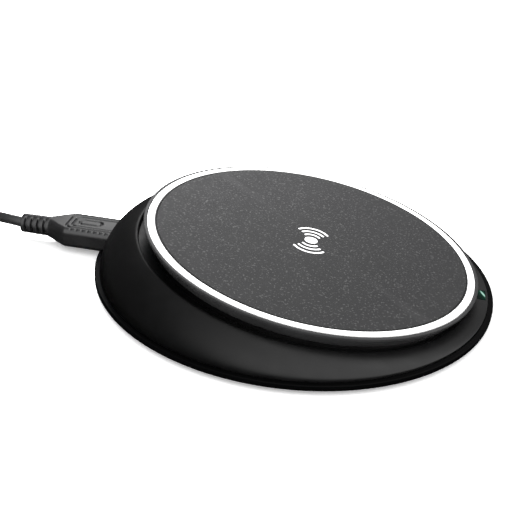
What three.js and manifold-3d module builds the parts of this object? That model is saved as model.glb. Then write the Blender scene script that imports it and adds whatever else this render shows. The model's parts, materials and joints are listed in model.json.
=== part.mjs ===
// A wedge-shaped wireless charging pad with its micro-USB cable.
// Millimetres. +Z is up, z = 0 is the surface that the rubber feet stand on.
// +X points at the thin edge with the indicator light, -X at the thick edge with the socket.
import * as THREE from 'three';
import { ParametricGeometry } from 'three/addons/geometries/ParametricGeometry.js';
import { mergeVertices } from 'three/addons/utils/BufferGeometryUtils.js';
import Module from 'manifold-3d';

const wasm = await Module();
wasm.setup();

// ---------- driving dimensions ----------
const BASE_RADIUS = 50;
const UNDERSIDE_Z = 1.0;
const FLOOR_Z = 1.9;
const EDGE_ROUND = 0.3;
const LIP_TOP_Z = 2.4;
const LIP_INNER_RADIUS = 48.7;
const LIP_ROUND = 0.15;

// The skirt stands on the floor of the base, just inside its lip.
const SKIRT_RADIUS = 48.6;
const SKIRT_WALL = 1.85;
const SKIRT_BOTTOM_Z = 2.05;
const SKIRT_BEND_Z = 2.72;
const SKIRT_TURN = THREE.MathUtils.degToRad(68);
const SHOULDER = { radius: 42.31, x: 2.42, z: 7.72, tilt: 6.8 };
const GROOVE = { radius: 41.75, x: 2.42, z: 6.95, tilt: 5.95 };
const SHELF_THICKNESS = 0.55;
const SHELF_INNER_RADIUS = 37.6;
const SHELF_SETBACK = 1.05;
const SHOULDER_LAND = 0.4;
const CLEAR_TOP = 5;

// The deck is the raised round top. Its own z = 0 is the charging surface.
const DECK_X = 3.94;
const DECK_Z = 11.37;
const DECK_TILT = THREE.MathUtils.degToRad(7.07);
const NECK_RADIUS = 39.9;
const NECK_TOP = -3.65;
const RIM_BOTTOM = -3.35;
const RIM_BOTTOM_RADIUS = 40.36;
const RIM_RADIUS = 42.15;
const RIM_TOP = -0.06;
const CHANNEL_RADIUS = 41.42;
const CHANNEL = -0.75;
const LEDGE = -1.65;
const LEDGE_BOTTOM = -2.35;
const LEDGE_RADIUS = 36.8;
const RIM_BORE_RADIUS = 38.6;
const RING_INNER_RADIUS = 39.5;
const RING_OUTER_RADIUS = 41.27;
const PLATE_RADIUS = 39.1;
const PLATE_THICKNESS = 1.25;
const PLATE_GAP = 0.1;
const ADHESIVE = { inner: 37.1, outer: 38.8 };

const COIL = { inner: 10.5, outer: 22, top: -1.55, thickness: 1.2 };
const FERRITE = { radius: 23.5, top: -2.9, thickness: 0.6 };
const HOLDER = { radius: 26, wall: 1.4, top: -3.7, thickness: 0.8, rimTop: -2.9 };
const HOLDER_NOTCH = { end: -20, halfWidth: 6 };
const EAR = { radius: 2.6, distance: 28.5, angles: [50, 130, 230, 310], hole: 1.0, headRoom: 1.95 };
const HOLDER_POST = { radius: 2.5, gap: 0.45, pilotBottom: -6.9 };
const SENSOR = { radius: 1.4, bottom: -2.8, top: -1.6 };

const SOCKET_Z = 4.1;
const SOCKET_FRONT_X = -45.2;
const SOCKET_BACK_X = -38.6;
const PLUG = { width: 11, height: 5.4, faceX: -45.5, shoulderX: -59.4, neckX: -64.8, endX: -72.6 };
const PLUG_CLEARANCE = 0.45;
const PLUG_REACH = 5.6;
const POCKET = { radius: 1.8, mouthX: -60, depth: 0.6 };
const RELIEF_RADIUS = 2.6;
const CABLE_RADIUS = 1.35;

const BOARD = { bottom: 5.45, thickness: 1.0, front: -43.5, back: -17, halfWidth: 15, corner: 4, seam: 0.02 };
const BOARD_TOP = BOARD.bottom + BOARD.thickness;
const BOARD_SCREWS = [[-38.5, 11.5], [-38.5, -11.5]];
const BOARD_RESTS = [[-20, 12], [-20, -12]];
const BOARD_POST = { radius: 2.2, gap: 0.05, pilot: 0.95, pilotBottom: 2.4 };
const POST_ROOT = 0.4;

const CASE_SCREW = { distance: 39.6, angles: [88, 150, 210, 272], bossRadius: 2.8, parting: 3.5, gap: 0.1 };
const SCREW_WELL = { radius: 2.2, top: 2.5, clearance: 1.15, pilot: 1.1, pilotTop: 6.05 };
const FOOT = { radius: 4, distance: 39, angles: [45, 135, 225, 315], recess: 0.3, gap: 0.15 };
const LIGHT_GUIDE = { inner: 36.4, outer: 48.0, width: 4.6, bottom: 1.5, stripTop: 1.85, window: 1.9, top: 2.74 };
const LIGHT_RECESS = { inner: 30, bottom: 1.4, sideGap: 0.3, endGap: 0.2 };
const WINDOW_GAP = 0.1;
const LED_BOARD = { from: 30.9, to: 36.2, halfWidth: 3.1, bottom: 2.5, top: 2.9 };
const LED_RIB = { from: 31, to: 36, inner: 2.4, outer: 3.1, top: 2.45 };
const LED_CHIP = { from: 35.0, to: 36.1, halfWidth: 1.2, bottom: 1.55, top: 2.45 };

// The rest of the cable is wound into a coil beside the thick edge.
const COIL_CENTRE = new THREE.Vector2(-116, -6);
const WINDING_RADIUS = 6 * 2 * CABLE_RADIUS;
const WINDING_COLUMNS = 3;
const WINDING_HALF = WINDING_COLUMNS * CABLE_RADIUS;
const WINDING_BOTTOM = 0.9;
const LEAD_ROUTE = [
  [-72.9, 0.02, 4.15], [-76, 0.35, 4.25], [-80, 1.25, 4.1], [-84, 2.7, 3.6], [-88, 4.6, 2.9],
  [-92, 6.8, 2.2], [-96, 9.0, 1.65], [-100, 10.95, 1.38], [-104.2, 12.4, 1.36],
];
const TAIL_X = COIL_CENTRE.x - WINDING_RADIUS - 2 * CABLE_RADIUS;
const TAIL_ROUTE = [
  [TAIL_X, -16.9, 7.9], [TAIL_X, -19.5, 6.75], [TAIL_X, -22, 5.6], [TAIL_X, -24.6, 4.65], [TAIL_X, -26.7, 4.15],
];
const USB_A = { width: 15.6, height: 8, z: 4.0, reliefLength: 6.9, neck: -34, face: -54, tip: -66 };
const TIE = { width: 5, thickness: 0.5, gap: 0.4 };

const SEGMENTS = 48;
const SMALL_SEGMENTS = 12;

// ---------- materials ----------
const plastic = (color, roughness) => new THREE.MeshStandardMaterial({ color, roughness, metalness: 0 });
const metal = (color, roughness) => new THREE.MeshStandardMaterial({ color, roughness, metalness: 1 });
const MATERIALS = {
  shell: plastic(0x17171a, 0.38),
  base: plastic(0x0e0e10, 0.3),
  rim: plastic(0x1c1c1e, 0.4),
  plate: plastic(0x3a3a3c, 0.75),
  silicone: plastic(0xf4f4f2, 0.55),
  rubber: plastic(0x1d1d1d, 0.9),
  overmold: plastic(0x232325, 0.5),
  board: plastic(0x0f4a2a, 0.5),
  chip: plastic(0x1a1a1a, 0.45),
  ceramic: plastic(0x8a6f4e, 0.6),
  ferrite: plastic(0x3b3b3d, 0.7),
  adhesive: plastic(0xd8d8d0, 0.8),
  holder: plastic(0xe6e6e2, 0.55),
  light: plastic(0x9fe0c4, 0.2),
  wire: plastic(0xa01818, 0.5),
  copper: metal(0xb8703a, 0.35),
  steel: metal(0xb4b4b8, 0.3),
};

// ---------- helpers ----------
const radians = THREE.MathUtils.degToRad;
const polar = (distance, degrees) => [
  distance * Math.cos(radians(degrees)),
  distance * Math.sin(radians(degrees)),
];

function weld(geometry) {
  const copy = geometry.clone();
  copy.deleteAttribute('normal');
  copy.deleteAttribute('uv');
  return mergeVertices(copy, 1e-4);
}

function solid(geometry) {
  const welded = weld(geometry);
  const vertProperties = new Float32Array(welded.attributes.position.array);
  const triVerts = new Uint32Array(welded.index.array);
  return new wasm.Manifold(new wasm.Mesh({ numProp: 3, vertProperties, triVerts }));
}

function geometryOf(manifold) {
  const mesh = manifold.getMesh();
  const geometry = new THREE.BufferGeometry();
  geometry.setAttribute('position', new THREE.BufferAttribute(mesh.vertProperties, 3));
  geometry.setIndex(new THREE.BufferAttribute(mesh.triVerts, 1));
  geometry.computeVertexNormals();
  return geometry;
}

// Joins `added` to the first geometry, then cuts `removed` from the result.
function shape(geometry, { added = [], removed = [] }) {
  let body = solid(geometry);
  for (const piece of added) body = body.add(solid(piece));
  for (const piece of removed) body = body.subtract(solid(piece));
  return geometryOf(body);
}

// A solid of revolution about +Z from [radius, z] corners, listed anticlockwise in the r-z plane.
function turned(corners, segments = SEGMENTS) {
  const points = corners.map(([r, z]) => new THREE.Vector2(r, z));
  if (corners[0][0] > 0) points.push(points[0].clone());
  return new THREE.LatheGeometry(points, segments).rotateX(Math.PI / 2);
}

const disc = (radius, bottom, top, segments = SEGMENTS) =>
  turned([[0, bottom], [radius, bottom], [radius, top], [0, top]], segments);

const washer = (inner, outer, bottom, top, segments = SEGMENTS) =>
  turned([[inner, bottom], [outer, bottom], [outer, top], [inner, top]], segments);

const peg = (x, y, radius, bottom, top, segments = SMALL_SEGMENTS) =>
  disc(radius, bottom, top, segments).translate(x, y, 0);

const block = (x0, x1, y0, y1, z0, z1) =>
  new THREE.BoxGeometry(x1 - x0, y1 - y0, z1 - z0).translate((x0 + x1) / 2, (y0 + y1) / 2, (z0 + z1) / 2);

function roundedRectangle(width, height, radius) {
  const outline = new THREE.Shape();
  const [w, h] = [width / 2, height / 2];
  outline.moveTo(-w + radius, -h);
  outline.lineTo(w - radius, -h);
  outline.absarc(w - radius, -h + radius, radius, -Math.PI / 2, 0);
  outline.lineTo(w, h - radius);
  outline.absarc(w - radius, h - radius, radius, 0, Math.PI / 2);
  outline.lineTo(-w + radius, h);
  outline.absarc(-w + radius, h - radius, radius, Math.PI / 2, Math.PI);
  outline.lineTo(-w, -h + radius);
  outline.absarc(-w + radius, -h + radius, radius, Math.PI, 1.5 * Math.PI);
  return outline;
}

// Turns a shape drawn in the y-z plane into a bar that runs along X.
const ALONG_X = new THREE.Matrix4().makeBasis(
  new THREE.Vector3(0, 1, 0),
  new THREE.Vector3(0, 0, 1),
  new THREE.Vector3(1, 0, 0),
);

function barAlongX(outline, x0, x1, z) {
  const options = { depth: x1 - x0, bevelEnabled: false, curveSegments: 4 };
  return new THREE.ExtrudeGeometry(outline, options).applyMatrix4(ALONG_X).translate(x0, 0, z);
}

// A hollow bar along X from x0 to x1, bored from bore0 to bore1.
function sleeveAlongX({ width, height, wall, radius }, [x0, x1], [bore0, bore1], z) {
  const outer = barAlongX(roundedRectangle(width, height, radius), x0, x1, z);
  const bore = roundedRectangle(width - 2 * wall, height - 2 * wall, radius - wall / 2);
  return shape(outer, { removed: [barAlongX(bore, bore0, bore1, z)] });
}

// A loft along -X through superellipse sections [x, width, height], closed at both ends.
function loftedAlongX(sections, sides = 24) {
  const power = 2 / 4.5;
  const swell = (value) => Math.sign(value) * Math.abs(value) ** power;
  const last = sections.length - 1;
  const stations = [[sections[0][0], 0, 0], ...sections, [sections[last][0], 0, 0]];
  const place = (u, v, target) => {
    const [x, width, height] = stations[Math.round(v * (stations.length - 1))];
    const angle = -2 * Math.PI * (Math.round(u * sides) % sides) / sides;
    target.set(x, swell(Math.cos(angle)) * width / 2, swell(Math.sin(angle)) * height / 2);
  };
  return new ParametricGeometry(place, sides, stations.length - 1);
}

// Circles that a lofted shell passes through. Each takes an angle and gives a point.
const circle = ({ radius, x, z, tilt }) => (angle) => new THREE.Vector3(
  x + radius * Math.cos(angle) * Math.cos(radians(tilt)),
  radius * Math.sin(angle),
  z - radius * Math.cos(angle) * Math.sin(radians(tilt)),
);

// An elliptical blend that leaves the first circle upright and bends by SKIRT_TURN on its way to the second.
function domed(lower, upper, fraction) {
  return (angle) => {
    const [a, b] = [lower(angle), upper(angle)];
    const turn = fraction * SKIRT_TURN;
    const inward = (1 - Math.cos(turn)) / (1 - Math.cos(SKIRT_TURN));
    const rise = Math.sin(turn) / Math.sin(SKIRT_TURN);
    return new THREE.Vector3(
      THREE.MathUtils.lerp(a.x, b.x, inward),
      THREE.MathUtils.lerp(a.y, b.y, inward),
      THREE.MathUtils.lerp(a.z, b.z, rise),
    );
  };
}

const steps = (count) => Array.from({ length: count + 1 }, (_, i) => i / count);

// A closed ring-shaped solid through a closed loop of circles.
function ringLoft(rings) {
  const place = (u, v, target) => {
    const ring = rings[Math.round(v * rings.length) % rings.length];
    target.copy(ring(2 * Math.PI * (Math.round(u * SEGMENTS) % SEGMENTS) / SEGMENTS));
  };
  return new ParametricGeometry(place, SEGMENTS, rings.length);
}

function cableTube(route, radius, stepCount, sides = 8) {
  const path = new THREE.CatmullRomCurve3(route.map((point) => new THREE.Vector3(...point)));
  const section = new THREE.Shape();
  steps(sides).slice(0, sides).forEach((turn, i) => {
    const [x, y] = polar(radius, 360 * turn);
    if (i === 0) section.moveTo(x, y);
    else section.lineTo(x, y);
  });
  return new THREE.ExtrudeGeometry(section, { steps: stepCount, extrudePath: path, bevelEnabled: false });
}

const screwShape = (headRadius, shankRadius, headTop, headBottom, tip) => turned([
  [0, tip], [shankRadius * 0.5, tip], [shankRadius, tip + 0.5], [shankRadius, headBottom],
  [headRadius, headBottom], [headRadius, headTop], [0, headTop],
], SMALL_SEGMENTS);

// ---------- scene graph ----------
const pad = new THREE.Group();
const deck = new THREE.Group();
deck.position.set(DECK_X, 0, DECK_Z);
deck.rotation.set(0, DECK_TILT, 0);
pad.add(deck);
deck.updateMatrix();

function place(parent, name, material, geometry) {
  const mesh = new THREE.Mesh(geometry, MATERIALS[material]);
  mesh.name = name;
  parent.add(mesh);
}

const onDeck = (geometry) => geometry.applyMatrix4(deck.matrix);

// ---------- casing ----------
const plugPocket = () => {
  const [width, height] = [PLUG.width, PLUG.height].map((size) => size + 2 * PLUG_CLEARANCE);
  const outline = roundedRectangle(width, height, POCKET.radius);
  return barAlongX(outline, POCKET.mouthX, SOCKET_FRONT_X + POCKET.depth, SOCKET_Z);
};

const holderPosts = () => EAR.angles.map((angle) => {
  const [x, y] = polar(EAR.distance, angle);
  const foot = new THREE.Vector3(x, y, HOLDER.top - HOLDER.thickness).applyMatrix4(deck.matrix);
  return { x: foot.x, y: foot.y, top: foot.z - HOLDER_POST.gap };
});

function bottomShell() {
  const dish = turned([
    [0, UNDERSIDE_Z], [BASE_RADIUS - EDGE_ROUND, UNDERSIDE_Z], [BASE_RADIUS, UNDERSIDE_Z + EDGE_ROUND],
    [BASE_RADIUS, LIP_TOP_Z - LIP_ROUND], [BASE_RADIUS - LIP_ROUND, LIP_TOP_Z], [LIP_INNER_RADIUS, LIP_TOP_Z],
    [LIP_INNER_RADIUS, FLOOR_Z], [0, FLOOR_Z],
  ], 60);
  const root = FLOOR_Z - POST_ROOT;
  const added = [];
  const removed = [plugPocket()];
  for (const angle of CASE_SCREW.angles) {
    const [x, y] = polar(CASE_SCREW.distance, angle);
    added.push(peg(x, y, CASE_SCREW.bossRadius, root, CASE_SCREW.parting));
    removed.push(peg(x, y, SCREW_WELL.radius, 0, SCREW_WELL.top));
    removed.push(peg(x, y, SCREW_WELL.clearance, 0, CLEAR_TOP));
  }
  for (const { x, y, top } of holderPosts()) added.push(peg(x, y, HOLDER_POST.radius, root, top));
  for (const [x, y] of [...BOARD_SCREWS, ...BOARD_RESTS]) {
    added.push(peg(x, y, BOARD_POST.radius, root, BOARD.bottom - BOARD_POST.gap));
  }
  for (const [x, y] of BOARD_SCREWS) {
    removed.push(peg(x, y, BOARD_POST.pilot, BOARD_POST.pilotBottom, BOARD_TOP));
  }
  for (const angle of EAR.angles) {
    const [x, y] = polar(EAR.distance, angle);
    removed.push(onDeck(peg(x, y, EAR.hole, HOLDER_POST.pilotBottom, 0)));
  }
  for (const angle of FOOT.angles) {
    const [x, y] = polar(FOOT.distance, angle);
    removed.push(peg(x, y, FOOT.radius + FOOT.gap, 0, UNDERSIDE_Z + FOOT.recess, 20));
  }
  const half = LIGHT_GUIDE.width / 2 + LIGHT_RECESS.sideGap;
  const end = LIGHT_GUIDE.outer + LIGHT_RECESS.endGap;
  removed.push(block(LIGHT_RECESS.inner, end, -half, half, LIGHT_RECESS.bottom, CLEAR_TOP));
  for (const [y0, y1] of [[LED_RIB.inner, LED_RIB.outer], [-LED_RIB.outer, -LED_RIB.inner]]) {
    added.push(block(LED_RIB.from, LED_RIB.to, y0, y1, root, LED_RIB.top));
  }
  return shape(dish, { added, removed });
}

function topShell() {
  const level = (radius, z) => circle({ radius, x: 0, z, tilt: 0 });
  const shoulder = circle(SHOULDER);
  const outerBend = level(SKIRT_RADIUS, SKIRT_BEND_Z);
  const innerFoot = level(SKIRT_RADIUS - SKIRT_WALL, SKIRT_BOTTOM_Z);
  const underShelf = circle({ ...GROOVE, radius: GROOVE.radius - SHELF_SETBACK, z: GROOVE.z - SHELF_THICKNESS });
  const inDeck = (radius, z) => (angle) =>
    new THREE.Vector3(radius * Math.cos(angle), radius * Math.sin(angle), z).applyMatrix4(deck.matrix);
  const grooveZ = (x) => GROOVE.z - (x - GROOVE.x) * Math.tan(radians(GROOVE.tilt));
  const inGroovePlane = (radius, drop) => (angle) => {
    const point = inDeck(radius, NECK_TOP)(angle);
    point.z = grooveZ(point.x) - drop;
    return point;
  };
  const shell = ringLoft([
    level(SKIRT_RADIUS, SKIRT_BOTTOM_Z),
    ...steps(6).slice(0, -1).map((fraction) => domed(outerBend, shoulder, fraction)),
    shoulder,
    circle({ ...SHOULDER, radius: SHOULDER.radius - SHOULDER_LAND }),
    circle(GROOVE),
    inGroovePlane(NECK_RADIUS, 0),
    inDeck(NECK_RADIUS, NECK_TOP),
    inDeck(SHELF_INNER_RADIUS, NECK_TOP),
    inGroovePlane(SHELF_INNER_RADIUS, SHELF_THICKNESS),
    underShelf,
    ...steps(3).slice(1, -1).reverse().map((fraction) => domed(innerFoot, underShelf, fraction)),
    innerFoot,
  ]);
  const added = [];
  const removed = [plugPocket()];
  for (const angle of CASE_SCREW.angles) {
    const [x, y] = polar(CASE_SCREW.distance, angle);
    const bossTop = grooveZ(x) - SHELF_THICKNESS + 0.2;
    added.push(peg(x, y, CASE_SCREW.bossRadius, CASE_SCREW.parting + CASE_SCREW.gap, bossTop));
    removed.push(peg(x, y, SCREW_WELL.pilot, 0, SCREW_WELL.pilotTop));
  }
  const half = LIGHT_GUIDE.width / 2 + WINDOW_GAP;
  const [x0, x1] = [LIGHT_GUIDE.outer - LIGHT_GUIDE.window - WINDOW_GAP, LIGHT_GUIDE.outer + WINDOW_GAP];
  removed.push(block(x0, x1, -half, half, 0, CLEAR_TOP));
  return shape(shell, { added, removed });
}

place(pad, 'bottom_shell', 'base', bottomShell());
place(pad, 'top_shell', 'shell', topShell());

// ---------- deck: rim, charging surface and grip ring ----------
place(deck, 'top_rim', 'rim', turned([
  [RIM_BORE_RADIUS, RIM_BOTTOM], [RIM_BOTTOM_RADIUS, RIM_BOTTOM],
  [RIM_RADIUS, RIM_TOP - 0.6], [RIM_RADIUS, RIM_TOP],
  [CHANNEL_RADIUS, RIM_TOP], [CHANNEL_RADIUS, CHANNEL],
  [RING_INNER_RADIUS - 0.05, CHANNEL], [RING_INNER_RADIUS - 0.05, RIM_TOP],
  [PLATE_RADIUS + PLATE_GAP, RIM_TOP], [PLATE_RADIUS + PLATE_GAP, LEDGE],
  [LEDGE_RADIUS, LEDGE], [LEDGE_RADIUS, LEDGE_BOTTOM], [RIM_BORE_RADIUS, LEDGE_BOTTOM],
]));
place(deck, 'grip_ring', 'silicone', turned([
  [RING_INNER_RADIUS, CHANNEL + 0.1], [RING_OUTER_RADIUS - 0.1, CHANNEL + 0.1], [RING_OUTER_RADIUS, -0.35],
  [RING_OUTER_RADIUS - 0.1, -0.1], [RING_OUTER_RADIUS - 0.35, 0.05], [RING_INNER_RADIUS + 0.3, 0.08],
  [RING_INNER_RADIUS, -0.02],
], 60));
place(deck, 'top_plate', 'plate', turned([
  [0, -PLATE_THICKNESS], [PLATE_RADIUS, -PLATE_THICKNESS], [PLATE_RADIUS, -0.2], [PLATE_RADIUS - 0.15, 0], [0, 0],
], 60));
const tape = washer(ADHESIVE.inner, ADHESIVE.outer, LEDGE + 0.1, -PLATE_THICKNESS - 0.1);
place(deck, 'plate_adhesive', 'adhesive', tape);

// ---------- deck: coil stack ----------
place(deck, 'transmitter_coil', 'copper', washer(COIL.inner, COIL.outer, COIL.top - COIL.thickness, COIL.top, 36));
place(deck, 'ferrite_shield', 'ferrite', disc(FERRITE.radius, FERRITE.top - FERRITE.thickness, FERRITE.top, 36));
place(deck, 'temperature_sensor', 'chip', peg(0, 0, SENSOR.radius, SENSOR.bottom, SENSOR.top, 12));

function coilHolder() {
  const bottom = HOLDER.top - HOLDER.thickness;
  const added = [washer(HOLDER.radius - HOLDER.wall, HOLDER.radius, bottom, HOLDER.rimTop, 36)];
  const { end, halfWidth } = HOLDER_NOTCH;
  const removed = [block(-HOLDER.radius - 2, end, -halfWidth, halfWidth, HOLDER.top, 0)];
  for (const angle of EAR.angles) {
    const [x, y] = polar(EAR.distance, angle);
    added.push(peg(x, y, EAR.radius, bottom, HOLDER.top));
    removed.push(peg(x, y, EAR.hole, bottom - 1, HOLDER.top + 0.5));
    removed.push(peg(x, y, EAR.headRoom, HOLDER.top, 0));
  }
  return shape(disc(HOLDER.radius, bottom, HOLDER.top, 36), { added, removed });
}
place(deck, 'coil_holder', 'holder', coilHolder());

EAR.angles.forEach((angle, i) => {
  const [x, y] = polar(EAR.distance, angle);
  const screw = screwShape(1.7, 0.8, -2.95, HOLDER.top + 0.05, -6.5).translate(x, y, 0);
  place(deck, `holder_screw_${i + 1}`, 'steel', screw);
});

// ---------- fasteners and feet ----------
CASE_SCREW.angles.forEach((angle, i) => {
  const [x, y] = polar(CASE_SCREW.distance, angle);
  const screw = turned([
    [0, 1.45], [1.9, 1.45], [1.9, 2.45], [1.0, 2.45], [1.0, 5.3], [0.5, 5.8], [0, 5.8],
  ], SMALL_SEGMENTS);
  place(pad, `case_screw_${i + 1}`, 'steel', screw.translate(x, y, 0));
});

FOOT.angles.forEach((angle, i) => {
  const [x, y] = polar(FOOT.distance, angle);
  const foot = turned([
    [0, 0], [FOOT.radius - 0.3, 0], [FOOT.radius, 0.3], [FOOT.radius, UNDERSIDE_Z + 0.25], [0, UNDERSIDE_Z + 0.25],
  ], 20);
  place(pad, `rubber_foot_${i + 1}`, 'rubber', foot.translate(x, y, 0));
});

// ---------- electronics ----------
function mainBoard() {
  const { front, back, halfWidth, bottom, thickness, corner } = BOARD;
  const outline = new THREE.Shape();
  outline.moveTo(front, corner - halfWidth);
  outline.lineTo(front + corner, -halfWidth);
  outline.lineTo(back, -halfWidth);
  outline.lineTo(back, halfWidth);
  outline.lineTo(front + corner, halfWidth);
  outline.lineTo(front, halfWidth - corner);
  const board = new THREE.ExtrudeGeometry(outline, { depth: thickness, bevelEnabled: false });
  const holes = BOARD_SCREWS.map(([x, y]) => peg(x, y, 1.1, 0, 9));
  return shape(board.translate(0, 0, bottom), { removed: holes });
}
place(pad, 'main_board', 'board', mainBoard());

BOARD_SCREWS.forEach(([x, y], i) => {
  const screw = screwShape(1.6, 0.8, BOARD_TOP + 0.8, BOARD_TOP + 0.05, 2.6).translate(x, y, 0);
  place(pad, `board_screw_${i + 1}`, 'steel', screw);
});

// name, material, centre x, centre y, length along x, width along y, height above the board
const BOARD_PARTS = [
  ['controller_chip', 'chip', -35.5, 0, 5, 5, 0.9],
  ['driver_chip_1', 'chip', -30.5, 8.5, 3.3, 3.3, 0.9],
  ['driver_chip_2', 'chip', -30.5, -8.5, 3.3, 3.3, 0.9],
  ['input_inductor', 'ferrite', -36, 6.5, 5, 5, 2.4],
  ['filter_capacitor_1', 'ceramic', -36, -5, 3.2, 2.5, 1.6],
  ['filter_capacitor_2', 'ceramic', -31.5, -3.8, 3.2, 2.5, 1.6],
];
for (const [i, y] of [-11, -7.7, 7.7, 11].entries()) {
  BOARD_PARTS.push([`resonant_capacitor_${i + 1}`, 'ceramic', -23, y, 4.5, 2.6, 1.9]);
}
for (const [name, material, x, y, length, width, height] of BOARD_PARTS) {
  const base = BOARD_TOP + BOARD.seam;
  const body = block(x - length / 2, x + length / 2, y - width / 2, y + width / 2, base, base + height);
  place(pad, name, material, body);
}

// ---------- socket ----------
const SOCKET_SLEEVE = { width: 7.6, height: 2.6, wall: 0.25, radius: 0.6 };
const socketSpan = [SOCKET_FRONT_X, SOCKET_BACK_X];
const socketBore = [SOCKET_FRONT_X - 1, SOCKET_BACK_X - 0.5];
place(pad, 'usb_socket_shell', 'steel', sleeveAlongX(SOCKET_SLEEVE, socketSpan, socketBore, SOCKET_Z));
const tongue = block(-43.8, SOCKET_BACK_X - 0.55, -1.8, 1.8, SOCKET_Z + 0.05, SOCKET_Z + 0.45);
place(pad, 'usb_socket_tongue', 'chip', tongue);

// ---------- indicator light ----------
function lightGuide() {
  const { inner, outer, width, bottom, stripTop, window, top } = LIGHT_GUIDE;
  const strip = block(inner, outer, -width / 2, width / 2, bottom, stripTop);
  const riser = block(outer - window, outer, -width / 2, width / 2, bottom, top);
  return shape(strip, { added: [riser] });
}
place(pad, 'light_guide', 'light', lightGuide());
for (const [name, material, part] of [['led_board', 'board', LED_BOARD], ['led_chip', 'light', LED_CHIP]]) {
  const { from, to, halfWidth, bottom, top } = part;
  place(pad, name, material, block(from, to, -halfWidth, halfWidth, bottom, top));
}

// ---------- wires ----------
for (const [i, side] of [1, -1].entries()) {
  place(pad, `led_wire_${i + 1}`, 'wire', cableTube([
    [30.6, side * 0.9, 2.75], [27, side * 1.6, 2.45], [10, side * 2, 2.4], [-10, side * 2.4, 2.4],
    [-14.2, side * 2.8, 3.0], [-15.6, side * 3, 4.5], [-16.1, side * 3, 5.8],
  ], 0.4, 16, 6));
  place(pad, `coil_lead_${i + 1}`, 'copper', cableTube([
    [-18.8, side * 3, 12.05], [-22.4, side * 3.1, 12.45], [-25.4, side * 3.3, 11.6], [-26.6, side * 3.5, 9.4],
    [-26.6, side * 3.6, 6.85],
  ], 0.45, 12, 6));
}

// ---------- charging cable ----------
const plugBody = loftedAlongX([
  [PLUG.faceX, PLUG.width - 0.6, PLUG.height - 0.6], [PLUG.faceX - 0.3, PLUG.width, PLUG.height],
  [PLUG.shoulderX, PLUG.width, PLUG.height], [PLUG.shoulderX - 0.9, PLUG.width - 0.7, PLUG.height],
  [PLUG.neckX + 1.2, 6.9, 5.3], [PLUG.neckX, 6.0, 5.2],
]).translate(0, 0, SOCKET_Z);
place(pad, 'micro_plug_body', 'overmold', plugBody);

const PLUG_SLEEVE = { width: 6.85, height: 1.85, wall: 0.22, radius: 0.5 };
const plugTip = PLUG.faceX + PLUG_REACH;
const plugSpan = [PLUG.faceX + 0.1, plugTip];
const plugBore = [PLUG.faceX + 0.5, plugTip + 1];
place(pad, 'micro_plug_shell', 'steel', sleeveAlongX(PLUG_SLEEVE, plugSpan, plugBore, SOCKET_Z));
const insert = block(PLUG.faceX + 0.6, plugTip - 0.3, -2.4, 2.4, SOCKET_Z - 0.6, SOCKET_Z - 0.12);
place(pad, 'micro_plug_insert', 'chip', insert);

// A ribbed bush, turned about +Z and then laid along the cable.
const RIB_DEPTH = 0.45;
function strainRelief(length, rootRadius, tipRadius, slots) {
  const pitch = length / (slots + 0.6);
  const corners = [[0, 0], [rootRadius, 0]];
  for (let i = 0; i < slots; i += 1) {
    const start = pitch * (i + 0.55);
    const stop = start + pitch * 0.35;
    const radius = THREE.MathUtils.lerp(rootRadius, tipRadius, start / length);
    corners.push([radius, start], [radius - RIB_DEPTH, start], [radius - RIB_DEPTH, stop], [radius, stop]);
  }
  corners.push([tipRadius, length - 0.3], [tipRadius - 0.3, length], [0, length]);
  return turned(corners, SMALL_SEGMENTS);
}

const microRelief = strainRelief(PLUG.neckX - PLUG.endX - 0.1, RELIEF_RADIUS, RELIEF_RADIUS - 0.1, 4)
  .rotateY(-Math.PI / 2)
  .translate(PLUG.neckX - 0.1, 0, SOCKET_Z);
place(pad, 'micro_strain_relief', 'overmold', microRelief);

place(pad, 'cable_lead', 'overmold', cableTube(LEAD_ROUTE, CABLE_RADIUS, 14));
const winding = washer(
  WINDING_RADIUS - WINDING_HALF, WINDING_RADIUS + WINDING_HALF,
  WINDING_BOTTOM, WINDING_BOTTOM + 2 * WINDING_HALF, 36,
);
place(pad, 'cable_coil', 'overmold', winding.translate(COIL_CENTRE.x, COIL_CENTRE.y, 0));
place(pad, 'cable_tail', 'overmold', cableTube(TAIL_ROUTE, CABLE_RADIUS, 5));

// The tie is a flat band around the winding, on the side that faces -Y.
function cableTie() {
  const opening = 2 * (WINDING_HALF + TIE.gap);
  const outer = opening + 2 * TIE.thickness;
  const band = barAlongX(roundedRectangle(outer, outer, 1.4), -TIE.width / 2, TIE.width / 2, 0);
  const bore = barAlongX(roundedRectangle(opening, opening, 0.3), -TIE.width, TIE.width, 0);
  return shape(band, { removed: [bore] });
}
const tieZ = WINDING_BOTTOM + WINDING_HALF;
place(pad, 'cable_tie', 'rubber', cableTie().translate(COIL_CENTRE.x, COIL_CENTRE.y - WINDING_RADIUS, tieZ));

// ---------- the plug on the far end ----------
// This group's -X is the way that the plug points, which is -Y of the pad.
const farEnd = new THREE.Group();
farEnd.position.set(TAIL_X, 0, USB_A.z);
farEnd.rotation.set(0, 0, Math.PI / 2);
pad.add(farEnd);

const usbBody = loftedAlongX([
  [USB_A.neck, USB_A.width - 7, USB_A.height - 2.4], [USB_A.neck - 3, USB_A.width - 0.6, USB_A.height],
  [USB_A.neck - 4, USB_A.width, USB_A.height], [USB_A.face + 0.4, USB_A.width, USB_A.height],
  [USB_A.face, USB_A.width - 0.8, USB_A.height - 0.8],
]);
place(farEnd, 'usb_a_body', 'overmold', usbBody);

const usbRelief = strainRelief(USB_A.reliefLength, 2.6, 2.0, 4).rotateY(Math.PI / 2);
place(farEnd, 'usb_a_strain_relief', 'overmold', usbRelief.translate(USB_A.neck + 0.1, 0, 0));

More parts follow.
